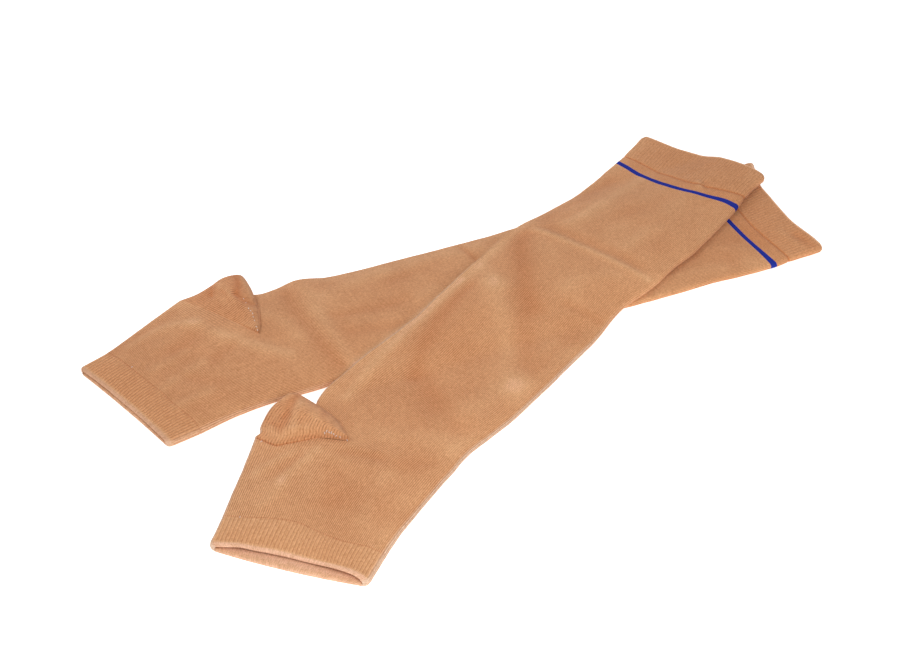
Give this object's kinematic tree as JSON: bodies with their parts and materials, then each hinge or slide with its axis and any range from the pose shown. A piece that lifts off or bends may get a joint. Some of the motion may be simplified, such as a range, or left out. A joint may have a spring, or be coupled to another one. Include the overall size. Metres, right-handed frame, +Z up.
{
  "type": "pair of knitted arm protector sleeves",
  "caption": "Pair of tan knitted protector sleeves with ribbed open hems, turned heel pockets, blue size stripes and ribbed welts, laid flat with one across the other.",
  "frame": {"origin": "on the surface that the pair lies on, under the middle of its box", "axes": "+X from the hems towards the welts, halfway between the two sleeves, +Z up"},
  "size_m": [0.48, 0.261, 0.0174],
  "materials": {
    "tan_knit": "matt plain knit",
    "ribbed_knit": "matt one by one rib",
    "welt_knit": "matt fine rib",
    "blue_yarn": "matt plain knit"
  },
  "bodies": {
    "root": {"near_hem_band": "ribbed_knit", "near_body_tube": "tan_knit", "near_heel_pocket": "tan_knit", "near_size_stripe": "blue_yarn", "near_top_strip": "tan_knit", "near_top_welt": "welt_knit", "far_hem_band": "ribbed_knit", "far_body_tube": "tan_knit", "far_heel_pocket": "tan_knit", "far_size_stripe": "blue_yarn", "far_top_strip": "tan_knit", "far_top_welt": "welt_knit"}
  },
  "joints": []
}
